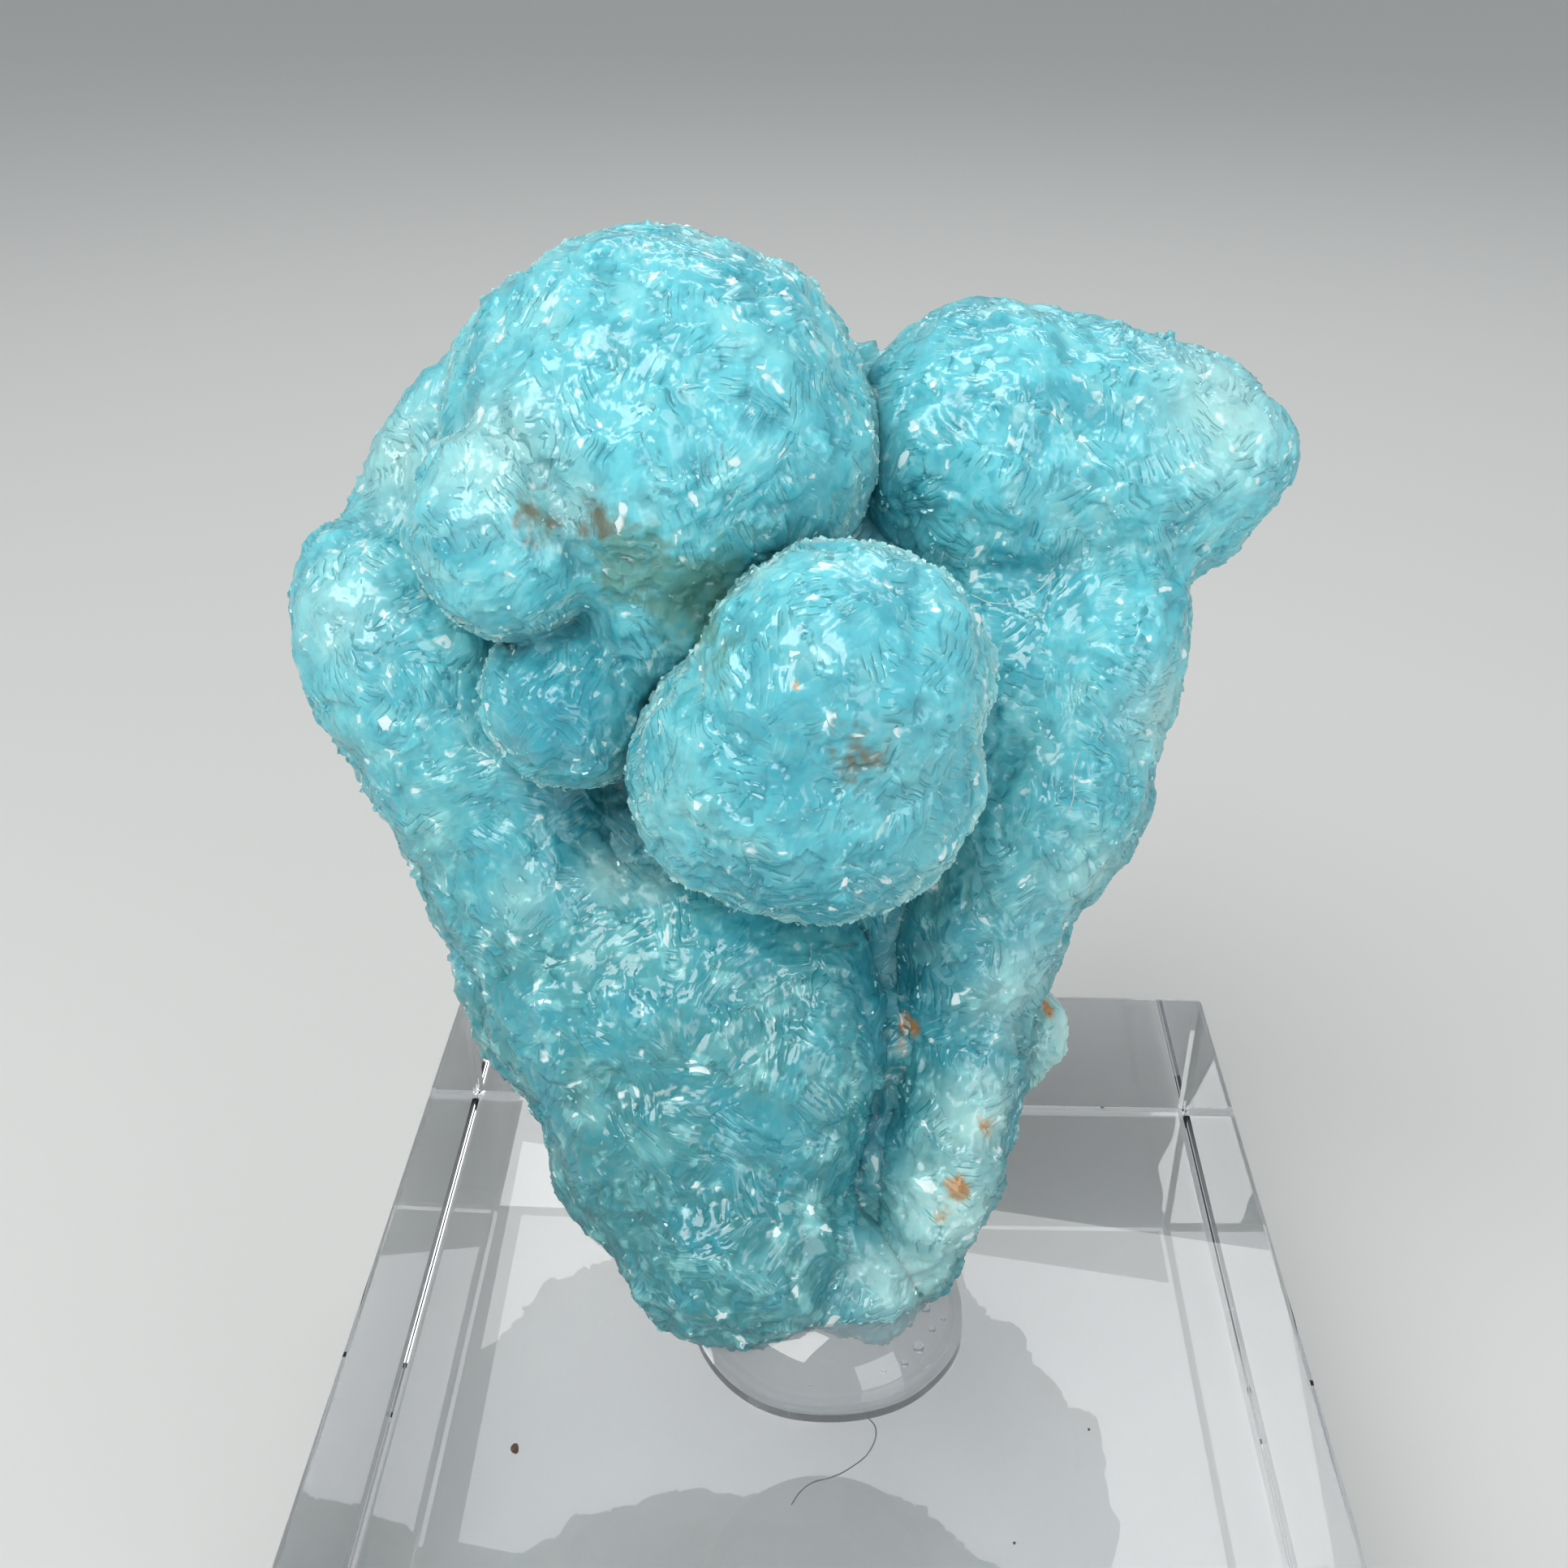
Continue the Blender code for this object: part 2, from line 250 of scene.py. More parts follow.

# Hollows painted with the darkest teal shade, added to the painted crevice shade
SHADED_HOLLOWS = (
    (1.8, 16.5, 0.8, 4.5, 0.8), (1.5, 12.0, 0.8, 3.5, 0.6), (1.4, 7.5, 1.0, 3.0, 0.4),
    (-11.8, 25.0, 1.5, 5.5, 0.9), (-8.0, 23.5, 1.5, 5.0, 0.9), (-13.1, 26.7, 6.0, 2.6, 0.4),
    (-15.6, 29.0, 3.0, 2.6, 0.5), (0.8, 40.5, 3.5, 4.0, 0.5),
)

# How strongly hemimorphite bends light
HEMIMORPHITE_INDEX = 1.61

# The rust that mottles the broken back, and the stains and their places
MOTTLE_COLOUR = (0.36, 0.17, 0.05)
STAIN_COLOURS = {
    "olive": (0.13, 0.33, 0.28),
    "brown": (0.17, 0.15, 0.09),
    "tan": (0.72, 0.47, 0.25),
    "rust": (0.46, 0.20, 0.03),
    "cream": (0.76, 0.62, 0.42),
}
STAINS = {
    "olive": (
        (-10.4, 37.2, 11.2, 2.4, 0.75), (-8.6, 35.6, 10.0, 3.0, 0.85), (-7.0, 33.8, 12.2, 2.6, 0.8),
        (-5.4, 36.6, 10.6, 2.6, 0.6), (-9.6, 36.4, 9.4, 4.2, 0.95), (-7.4, 35.0, 9.0, 4.4, 0.95),
        (-5.6, 32.4, 13.2, 2.6, 0.6),
    ),
    "brown": (
        (-13.4, 38.4, 12.4, 2.6, 0.7), (-10.7, 37.9, 11.4, 2.6, 0.75), (0.0, 28.4, 16.0, 2.4, 0.55),
        (-1.0, 29.7, 16.3, 1.7, 0.45),
    ),
    "tan": ((-2.6, 31.4, 16.1, 0.5, 1.0), (-4.0, 27.4, 16.0, 0.45, 0.8)),
    "rust": (
        (2.9, 14.1, 0.8, 1.1, 0.9), (2.5, 13.0, 0.9, 0.9, 0.8), (10.3, 14.2, -3.5, 1.1, 0.9),
        (6.9, 9.4, 2.9, 1.3, 0.85), (5.5, 6.6, 3.4, 1.4, 0.9), (4.8, 5.2, 3.2, 1.0, 0.7),
    ),
    "cream": ((-26.2, 35.6, -3.4, 1.8, 1.0), (-21.6, 45.2, -3.0, 1.4, 1.0)),
}


def length_value(name, description, size):
    """A setting that is a length, given in millimetres."""
    return FloatProperty(name=name, description=description, default=size * MM, unit="LENGTH")


def colour_value(name, description, shade):
    return FloatVectorProperty(name=name, description=description, default=shade, subtype="COLOR", size=3)


def power_value(name, description, watts):
    return FloatProperty(name=name, description=description, default=watts, unit="POWER")


class SpecimenSettings(bpy.types.PropertyGroup):
    """Sizes and colours of the hemimorphite."""

    blade_height: length_value("Blade height", "How far the blades stand above their grooves", 0.125)
    step_height: length_value("Step height", "Height of the broader steps under the blades", 0.13)
    step_size: length_value("Step size", "Width of the broader steps", 2.2)
    crystal_density: FloatProperty(
        name="Crystals", description="Free crystals on a crowded square millimetre", default=1.6, min=0.0,
    )
    crystal_length: length_value("Crystal length", "Length of a free crystal", 0.34)
    high_colour: colour_value("Upper colour", "Azure cyan of the upper balls", (0.17, 0.66, 0.74))
    low_colour: colour_value("Lower colour", "Teal of the lower wedge", (0.055, 0.265, 0.285))
    # Painted shade: the deep teal laid in crevices, hollows and the fine grooves of the blades
    crevice_shade_colour: colour_value("Crevice shade colour", "Deep teal painted as shade between the lobes", (0.002, 0.16, 0.20))
    # The edge colour is also painted as light on the rims and on the shaded lower right.
    edge_colour: colour_value("Edge colour", "Greenish white of the thin edges, also painted as light on the rims", (0.55, 0.84, 0.80))
    deep_colour: colour_value("Deep colour", "Stronger blue of the clearer zones", (0.03, 0.31, 0.40))
    milk_colour: colour_value("Milk colour", "Pale clouds inside the crust", (0.36, 0.80, 0.80))
    blade_colour: colour_value("Blade colour", "Pale glassy green of thin blades", (0.42, 0.80, 0.80))
    # Painted glints: white laid into the colour of some facets
    painted_glint_colour: colour_value("Painted glint colour", "White painted on some facets as glints", (0.85, 0.95, 0.95))
    matrix_colour: colour_value("Matrix colour", "Cream of the broken back", (0.62, 0.56, 0.42))
    seed: IntProperty(name="Seed", description="Start of the random growth", default=7)


class MountSettings(bpy.types.PropertyGroup):
    """Sizes of the gel, and how strongly the gel and the block bend light."""

    gel_radius: length_value("Gel radius", "Radius of the dab of gel on the block", 7.2)
    gel_height: length_value("Gel height", "Height of the dome of gel", 4.6)
    acrylic_index: FloatProperty(
        name="Acrylic index", description="Refractive index of the block", default=1.49, min=1.0,
    )
    gel_index: FloatProperty(
        name="Gel index", description="Refractive index of the gel", default=1.30, min=1.0,
    )


class StudioSettings(bpy.types.PropertyGroup):
    """Camera, floor and lights."""

    focal_length: FloatProperty(
        name="Focal length", description="Camera's focal length on a 36 mm sensor", default=37.27,
    )
    floor_colour: colour_value("Floor colour", "Colour of the plain floor", (0.68, 0.69, 0.67))
    key_power: power_value("Key light", "Power of the key light", 1.25)
    fill_power: power_value("Fill light", "Power of the fill light", 0.75)
    rim_power: power_value("Back light", "Power of the light behind", 0.45)
    world_strength: FloatProperty(
        name="Room light", description="Strength of the even room light", default=0.44,
    )


class Wire:
    """A socket that takes part in Python arithmetic: each sign adds a Math or Vector Math node."""

    def __init__(self, nodes, socket):
        self.nodes = nodes
        self.socket = socket

    def wide(self):
        return self.socket.type in {"VECTOR", "RGBA"}

    def join(self, operation, first, second):
        sides = (first, second)
        vectors = [isinstance(side, (tuple, Vector)) or getattr(side, "wide", bool)() for side in sides]
        if not any(vectors):
            return self.nodes.add("ShaderNodeMath", {"operation": operation}, sides)
        if all(vectors):
            return self.nodes.vector(operation, *sides)
        if operation == "MULTIPLY":
            vector, number = (first, second) if vectors[0] else (second, first)
            values = {"Vector": vector, "Scale": number}
            return self.nodes.add("ShaderNodeVectorMath", {"operation": "SCALE"}, values)
        spread = [side if wide else self.nodes.spread(side) for side, wide in zip(sides, vectors)]
        return self.nodes.vector(operation, *spread)

    def __add__(self, other):
        return self.join("ADD", self, other)

    def __radd__(self, other):
        return self.join("ADD", other, self)

    def __sub__(self, other):
        return self.join("SUBTRACT", self, other)

    def __rsub__(self, other):
        return self.join("SUBTRACT", other, self)

    def __mul__(self, other):
        return self.join("MULTIPLY", self, other)

    def __truediv__(self, other):
        return self.join("DIVIDE", self, other)

    def __rtruediv__(self, other):
        return self.join("DIVIDE", other, self)

    def also(self, name):
        """Another output of the same node."""
        node = self.socket.node
        return Wire(self.nodes, self.nodes.socket(node, name, node.outputs))


class Nodes:
    """A node tree, the one method that adds any node to it, and short names for the nodes that recur."""

    def __init__(self, tree):
        self.tree = tree

    def add(self, kind, settings=None, values=None, out=0):
        """Adds a node: its settings first, then the values or links of its sockets."""
        node = self.tree.nodes.new(kind)
        for name, value in (settings or {}).items():
            setattr(node, name, value)
        pairs = values.items() if isinstance(values, dict) else enumerate(values or ())
        for key, value in pairs:
            self.plug(self.socket(node, key), value)
        return Wire(self, self.socket(node, out, node.outputs))

    def socket(self, node, key, sockets=None):
        sockets = node.inputs if sockets is None else sockets
        if isinstance(key, int):
            return sockets[key]
        for socket in sockets:
            if key in (socket.identifier, socket.name) and socket.enabled:
                return socket
        raise KeyError(f"{node.bl_idname} has no socket {key}")

    def plug(self, socket, value):
        if isinstance(value, Wire):
            self.tree.links.new(value.socket, socket)
        elif socket.type == "RGBA" and len(value) == 3:
            socket.default_value = (*value, 1.0)
        else:
            socket.default_value = value

    def spread(self, value):
        if isinstance(value, Wire):
            return self.add("ShaderNodeCombineXYZ", None, (value, value, value))
        return (value, value, value)

    def mix(self, below, above, share):
        """A colour between two colours, for a share from 0 to 1."""
        settings = {"data_type": "RGBA", "clamp_factor": True}
        values = {"Factor_Float": share, "A_Color": below, "B_Color": above}
        return self.add("ShaderNodeMix", settings, values, "Result_Color")

    def ramp(self, value, low, high, new_low=0.0, new_high=1.0):
        """Maps a value smoothly from one range to another, held at both ends."""
        settings = {"interpolation_type": "SMOOTHSTEP"}
        return self.add("ShaderNodeMapRange", settings, (value, low, high, new_low, new_high))

    def noise(self, place, size, detail=2.0, out=0):
        """Blender's noise, with its lumps about one size wide."""
        values = {"Vector": place, "Scale": 1.0 / size, "Detail": detail}
        return self.add("ShaderNodeTexNoise", {"noise_dimensions": "3D"}, values, out)

    def cells(self, place, size, scatter):
        """Blender's cells about one size wide: a random colour for each."""
        values = {"Vector": place, "Scale": 1.0 / size, "Randomness": scatter}
        return self.add("ShaderNodeTexVoronoi", {"feature": "F1"}, values, "Color")

    def part(self, vector, axis):
        return self.add("ShaderNodeSeparateXYZ", None, (vector,), axis)

    def vector(self, operation, *values, out=0):
        return self.add("ShaderNodeVectorMath", {"operation": operation}, values, out)

    def flag(self, name, kind="FLOAT"):
        """A value that the mesh carries, in a material."""
        out = 2 if kind == "FLOAT" else 0
        return self.add("ShaderNodeAttribute", {"attribute_name": name}, None, out)

    def named(self, name):
        """A value that the mesh carries, in a geometry tree."""
        settings = {"data_type": "FLOAT"}
        return self.add("GeometryNodeInputNamedAttribute", settings, {"Name": name}, "Attribute")

    def move(self, geometry, values):
        return self.add("GeometryNodeSetPosition", None, {"Geometry": geometry, **values}, "Geometry")

    def random_vector(self, low, high, seed):
        values = {"Min": low, "Max": high, "Seed": seed}
        return self.add("FunctionNodeRandomValue", {"data_type": "FLOAT_VECTOR"}, values, "Value")


def blade_lie(nodes, place):
    """The lie of the blades, which changes in patches.

    Gives the places squeezed across the blades, the way across them and how far each place is across.
    """
    wander = nodes.noise(place, BEND_SIZE * MM, 1.0, "Color")
    bent = place + (wander - (0.5, 0.5, 0.5)) * (BEND * MM)
    across = nodes.vector("NORMALIZE", nodes.cells(bent, BLADE_PATCH * MM, 1.0) - (0.5, 0.5, 0.5))
    reach = nodes.vector("DOT_PRODUCT", bent, across, out="Value")
    return bent + across * (reach * (SQUEEZE - 1)), across, reach


def facets(nodes, place, size, scatter):
    """Crystal facets about one size wide: how high each point stands, each facet being flat and tilted."""
    cell = nodes.cells(place, size, scatter)
    own = cell - (0.5, 0.5, 0.5)
    tilt = nodes.vector("DOT_PRODUCT", place - cell.also("Position"), own, out="Value")
    return nodes.part(own, "X") + tilt / size * FACET_TILT


def geometry_tree(name, inputs):
    """A new Geometry Nodes tree with its named inputs, given as name: (kind of socket, default)."""
    tree = bpy.data.node_groups.new(name, "GeometryNodeTree")
    tree.interface.new_socket("Geometry", in_out="INPUT", socket_type="NodeSocketGeometry")
    for label, (kind, value) in inputs.items():
        made = tree.interface.new_socket(label, in_out="INPUT", socket_type=kind)
        if value is not None:
            made.default_value = value
    tree.interface.new_socket("Geometry", in_out="OUTPUT", socket_type="NodeSocketGeometry")
    nodes = Nodes(tree)
    entry = tree.nodes.new("NodeGroupInput")
    return nodes, {socket.name: Wire(nodes, socket) for socket in entry.outputs if socket.name}


def end_tree(nodes, geometry, finish):
    """Closes a tree with its instances made real and its material set."""
    real = nodes.add("GeometryNodeRealizeInstances", None, {"Geometry": geometry}, "Geometry")
    painted = nodes.add("GeometryNodeSetMaterial", None, {"Geometry": real, "Material": finish}, "Geometry")
    leave = nodes.tree.nodes.new("NodeGroupOutput")
    nodes.plug(leave.inputs["Geometry"], painted)


def run_tree(obj, tree, values):
    """Runs a Geometry Nodes tree on an object and keeps what it makes as the object's plain mesh."""
    modifier = obj.modifiers.new(tree.name, "NODES")
    modifier.node_group = tree
    for item in tree.interface.items_tree:
        if item.item_type == "SOCKET" and item.in_out == "INPUT" and item.name in values:
            modifier[item.identifier] = values[item.name]
    settle(obj)


def new_object(name, mesh):
    obj = bpy.data.objects.new(name, mesh)
    bpy.context.scene.collection.objects.link(obj)
    return obj


def settle(obj):
    """Turns what an object's modifiers make into its plain mesh, with the values that the mesh carries."""
    graph = bpy.context.evaluated_depsgraph_get()
    shown = obj.evaluated_get(graph)
    mesh = bpy.data.meshes.new_from_object(shown, preserve_all_data_layers=True, depsgraph=graph)
    old = obj.data
    obj.modifiers.clear()
    obj.data = mesh
    bpy.data.meshes.remove(old)
    mesh.name = obj.name


def curve_mesh(name, curve):
    """The plain mesh of a curve."""
    obj = new_object(name, curve)
    graph = bpy.context.evaluated_depsgraph_get()
    mesh = bpy.data.meshes.new_from_object(obj.evaluated_get(graph))
    bpy.data.objects.remove(obj)
    return mesh


def fill_mesh(shape, name):
    mesh = bpy.data.meshes.new(name)
    shape.to_mesh(mesh)
    shape.free()
    return mesh


def face_point(u, v, w):
    """A point of the specimen's own frame, before it leans back."""
    return Vector((u, -w, v)) * MM


def stand(mesh):
    """Leans a mesh of the specimen's own frame back and sets it on the gel."""
    mesh.transform(Matrix.Translation(SPECIMEN_FOOT) @ Matrix.Rotation(-LEAN, 4, "X"))


def on_specimen(u, v, w):
    """A point of the specimen's own frame, in the row frame."""
    return SPECIMEN_FOOT + Matrix.Rotation(-LEAN, 3, "X") @ face_point(u, v, w)


def add_lobe(shape, centre, radii, turn):
    """Adds one rounded lobe to a shape: a sphere stretched to its radii and turned on the face."""
    along_u, along_v, along_w = (r * MM for r in radii)
    stretch = Matrix.Diagonal((along_u, along_w, along_v, 1.0))
    place = Matrix.Translation(face_point(*centre)) @ Matrix.Rotation(math.radians(turn), 4, "Y")
    bmesh.ops.create_uvsphere(
        shape, u_segments=LOBE_SEGMENTS, v_segments=LOBE_RINGS, radius=1.0, matrix=place @ stretch
    )


def break_foot(shape):
    """Cuts a closed shape off level where the specimen would reach below its foot."""
    level = Matrix.Rotation(LEAN, 3, "X") @ Vector((0, 0, 1))
    depth = FOOT_CUT * MM - SPECIMEN_FOOT.z
    geometry = shape.verts[:] + shape.edges[:] + shape.faces[:]
    cut = bmesh.ops.bisect_plane(
        shape, geom=geometry, plane_co=level * depth, plane_no=level, clear_inner=True
    )
    rim = [part for part in cut["geom_cut"] if isinstance(part, bmesh.types.BMEdge)]
    if rim:
        bmesh.ops.holes_fill(shape, edges=rim)


def slab_mesh():
    """The flat matrix behind the lobes: its outline extruded, with round edges."""
    curve = bpy.data.curves.new("matrix_outline", "CURVE")
    curve.dimensions = "2D"
    curve.fill_mode = "BOTH"
    curve.resolution_u = 4
    line = curve.splines.new("BEZIER")
    line.bezier_points.add(len(CRUST_OUTLINE) - 1)
    for knot, (u, v) in zip(line.bezier_points, CRUST_OUTLINE):
        knot.co = (u * MM, v * MM, 0)
        knot.handle_left_type = knot.handle_right_type = "AUTO"
    line.use_cyclic_u = True
    curve.bevel_depth = SLAB_ROUND * MM
    curve.bevel_resolution = 4
    curve.offset = -SLAB_ROUND * MM
    curve.extrude = ((SLAB_FRONT - SLAB_BACK) / 2 - SLAB_ROUND) * MM
    mesh = curve_mesh("matrix_outline", curve)
    stand_up = Matrix.Rotation(math.radians(90), 4, "X")
    mesh.transform(Matrix.Translation(face_point(0, 0, (SLAB_FRONT + SLAB_BACK) / 2)) @ stand_up)
    return mesh


def growth_texture(name, size, basis):
    texture = bpy.data.textures.new(name, "CLOUDS")
    texture.noise_scale = size * MM
    texture.noise_depth = 1
    texture.noise_basis = basis
    return texture


def grow(name, shape, grid, valley):
    """Joins overlapping shapes on a fine grid, softens their valleys and lets the surface grow unevenly."""
    step = grid * 1.0
    obj = new_object(name, fill_mesh(shape, name))
    joined = obj.modifiers.new("grown together", "REMESH")
    joined.mode = "VOXEL"
    joined.voxel_size = step * MM
    soft = obj.modifiers.new("soft valleys", "SMOOTH")
    soft.factor = 0.5
    soft.iterations = round((valley / step) ** 2)
    for label, (size, height, basis) in GROWTH.items():
        bumps = obj.modifiers.new(label, "DISPLACE")
        bumps.texture = growth_texture(label, size, basis)
        bumps.texture_coords = "LOCAL"
        bumps.strength = height * MM
        bumps.mid_level = 0.5
    settle(obj)
    return obj


def give(mesh, name, values):
    """Stores one value, or one colour, for each point of a mesh."""
    kind, key = ("FLOAT", "value") if values.ndim == 1 else ("FLOAT_COLOR", "color")
    layer = mesh.attributes.new(name, kind, "POINT")
    layer.data.foreach_set(key, values.astype(np.float32).ravel())


def read_points(mesh):
    """The points of a mesh in millimetres, and the directions that it faces there."""
    places = np.empty(len(mesh.vertices) * 3, np.float32)
    mesh.vertices.foreach_get("co", places)
    facing = np.empty(len(mesh.vertices) * 3, np.float32)
    mesh.vertex_normals.foreach_get("vector", facing)
    return places.reshape(-1, 3) / MM, facing.reshape(-1, 3)


def lobe_distances(points):
    """For each lobe, the distance of the points from it, negative inside, and its outward direction there."""
    for centre, radii, turn in LOBES.values():
        turned = np.array(Matrix.Rotation(math.radians(turn), 3, "Y"))
        size = np.array((radii[0], radii[2], radii[1]))
        scaled = (points - np.array(face_point(*centre)) / MM) @ turned / size
        reach = np.linalg.norm(scaled, axis=1)
        slope = scaled / size
        steep = np.linalg.norm(slope, axis=1) + 1e-9
        yield reach * (reach - 1) / steep, (slope / steep[:, None]) @ turned.T


def inside_outline(points, shrink):
    """Which points lie within the matrix's outline, drawn smaller by a share."""
    knots = np.array(CRUST_OUTLINE)
    middle = knots.mean(0)
    knots = middle + (knots - middle) * shrink
    u, v = points[:, 0], points[:, 2]
    within = np.zeros(len(points), bool)
    for (u0, v0), (u1, v1) in zip(knots, np.roll(knots, -1, 0)):
        crosses = (v0 > v) != (v1 > v)
        slant = (u1 - u0) / (v1 - v0 if v1 != v0 else 1e-9)
        within ^= crosses & (u < u0 + (v - v0) * slant)
    return within


def smooth_step(values, low, high):
    share = np.clip((values - low) / (high - low), 0, 1)
    return share * share * (3 - 2 * share)


def spot_strength(points, spot):
    """The strength at the points of a soft round spot, given as U, V, W, radius and full strength."""
    u, v, w, radius, full = spot
    away = np.linalg.norm(points - np.array((u, -w, v)), axis=1)
    return full * smooth_step(-away, -radius, 0)


def spotted(points, spots):
    """The strongest of some spots at each point."""
    return np.maximum.reduce([spot_strength(points, spot) for spot in spots])


def mark(mesh):
    """Stores where a group of the specimen has painted crevice shade, hidden parts, rims, haze and painted
    light, deep blue and stains.

    The mesh is still in the specimen's own frame.
    """
    points, facing = read_points(mesh)
    out = -points[:, 1]
    outward = -facing[:, 1]
    # Painted shade: darker where a lobe meets the matrix or another lobe and turns towards it, as shade falls
    # there.
    crevice = np.exp(-np.abs(out - SLAB_FRONT) / CREVICE_REACH) * (1 - outward) / 2
    nearest = np.full(len(points), 9.0)
    for distance, direction in lobe_distances(points):
        opposed = (1 - np.sum(facing * direction, axis=1)) / 2
        near = np.exp(-np.maximum(distance, 0) / CREVICE_REACH)
        crevice = np.maximum(crevice, near * opposed)
        nearest = np.minimum(nearest, distance)
    buried = (out < SLAB_FRONT - 1.2) & inside_outline(points, 0.93)
    hidden = np.maximum(smooth_step(-nearest, 0.9, 1.1), buried)
    # Rims: where the lobes turn away from the front; their paleness is partly thinner crust, partly painted
    # light shining through the edges.
    rim = smooth_step(1 - outward, 0.45, 0.95) * smooth_step(out, 2.0, 5.0)
    # Paler towards the back and in the listed spots; on the right foot and lower column the spots are painted
    # light where shade falls.
    haze = np.maximum(smooth_step(-out, 0.4, 4.5), spotted(points, HAZE_AND_LIGHT_SPOTS))
    # The listed hollows get painted shade too.
    crevice = np.maximum(crevice, spotted(points, SHADED_HOLLOWS))
    stain = np.zeros((len(points), 4))
    for kind, spots in STAINS.items():
        for spot in spots:
            share = spot_strength(points, spot)
            stronger = share > stain[:, 3]
            stain[stronger, :3] = STAIN_COLOURS[kind]
            stain[:, 3] = np.maximum(stain[:, 3], share)
    give(mesh, "crevice", crevice)
    give(mesh, "hidden", hidden)
    give(mesh, "rim", rim)
    give(mesh, "haze", haze)
    give(mesh, "deep", spotted(points, DEEP_SPOTS))
    give(mesh, "stain", stain)


def relief_tree():
    """Raises the surface in flat tilted facets: broad ones, and narrow blades side by side on them."""
    nodes, given = geometry_tree("druse_relief", {
        "Blade height": ("NodeSocketFloat", 0.125 * MM),
        "Step height": ("NodeSocketFloat", 0.13 * MM),
        "Step size": ("NodeSocketFloat", 2.2 * MM),
        "Finish": ("NodeSocketMaterial", None),
    })
    place = nodes.add("GeometryNodeInputPosition")
    facing = nodes.add("GeometryNodeInputNormal")
    squeezed, _, _ = blade_lie(nodes, place)
    growth = nodes.ramp(nodes.noise(place, 2.4 * MM, 1.0), 0.35, 0.65, 0.45, 1.0)
    blades = facets(nodes, squeezed, RELIEF_LENGTH * MM, BLADE_SCATTER)
    height = blades * given["Blade height"] * growth
    height = height + facets(nodes, place, given["Step size"], 1.0) * given["Step height"]
    end_tree(nodes, nodes.move(given["Geometry"], {"Offset": facing * height}), given["Finish"])
    return nodes.tree


def blade_tree():
    """Scatters chisel-ended free crystals over the parts that can be seen, along the crust's blades."""
    nodes, given = geometry_tree("druse_blades", {
        "Blades": ("NodeSocketFloat", 1.6),
        "Blade length": ("NodeSocketFloat", 0.34 * MM),
        "Seed": ("NodeSocketInt", 7),
        "Finish": ("NodeSocketMaterial", None),
    })
    place = nodes.add("GeometryNodeInputPosition")
    hidden = nodes.named("hidden")
    rim = nodes.named("rim")
    crowd = nodes.ramp(nodes.noise(place, 1.8 * MM, 1.0), 0.52, 0.66, 0.0, 1.0)
    density = given["Blades"] * (1.0 / (MM * MM)) * (crowd + rim * 0.8) * (1 - hidden)
    points = nodes.add(
        "GeometryNodeDistributePointsOnFaces",
        {"distribute_method": "RANDOM"},
        {"Mesh": given["Geometry"], "Density": density, "Seed": given["Seed"]},
        "Points",
    )
    facing = points.also("Normal")
    _, direction, _ = blade_lie(nodes, place)
    upright = nodes.add("FunctionNodeAlignRotationToVector", {"axis": "Z"}, {"Vector": facing})
    along = nodes.add(
        "FunctionNodeAlignRotationToVector",
        {"axis": "X", "pivot_axis": "Z"},
        {"Rotation": upright, "Vector": nodes.vector("CROSS_PRODUCT", facing, direction)},
    )
    lean = nodes.random_vector((-0.35, -0.3, -0.6), (0.35, 0.3, 0.6), given["Seed"])
    tilt = nodes.add("FunctionNodeEulerToRotation", None, (lean,))
    turn = nodes.add("FunctionNodeRotateRotation", {"rotation_space": "LOCAL"}, (along, tilt))
    size = nodes.random_vector((0.4, 0.7, 0.35), (1.1, 1.8, 0.7), given["Seed"] + 1)
    scale = size * (given["Blade length"] * (1 + rim * 0.5))
    blade = blade_shape(nodes)
    placed = nodes.add(
        "GeometryNodeInstanceOnPoints",
        None,
        {"Points": points, "Instance": blade, "Rotation": turn, "Scale": scale},
        "Instances",
    )
    end_tree(nodes, placed, given["Finish"])
    return nodes.tree


def blade_shape(nodes):
    """A blade of length 1: a small bar that narrows to a chisel edge, with its foot below the surface."""
    bar = nodes.add(
        "GeometryNodeMeshCube",
        None,
        {"Size": (1.0, 0.36, 0.62), "Vertices X": 2, "Vertices Y": 2, "Vertices Z": 2},
        "Mesh",
    )
    place = nodes.add("GeometryNodeInputPosition")
    height = nodes.part(place, "Z")
    top = nodes.add("ShaderNodeMath", {"operation": "GREATER_THAN"}, (height, 0.0))
    narrow = nodes.spread(top) * (-0.34, -0.88, 0.0) + (1.0, 1.0, 1.0)
    shaped = nodes.move(bar, {"Position": place * narrow + (0.0, 0.0, 0.06)})
    values = {"Geometry": shaped, "Shade Smooth": False}
    return nodes.add("GeometryNodeSetShadeSmooth", {"domain": "FACE"}, values, "Geometry")


def principled(name, constants, linked):
    """A material with one Principled BSDF: its constant values on its own sockets, and its linked ones."""
    material = bpy.data.materials.new(name)
    material.use_nodes = True
    material.node_tree.nodes.clear()
    nodes = Nodes(material.node_tree)
    shader = nodes.add("ShaderNodeBsdfPrincipled", None, constants, "BSDF")
    for socket, value in linked(nodes).items():
        nodes.plug(nodes.socket(shader.socket.node, socket), value)
    end = material.node_tree.nodes.new("ShaderNodeOutputMaterial")
    nodes.plug(end.inputs["Surface"], shader)
    return material


def object_place(nodes):
    return nodes.add("ShaderNodeTexCoord", None, None, "Object")


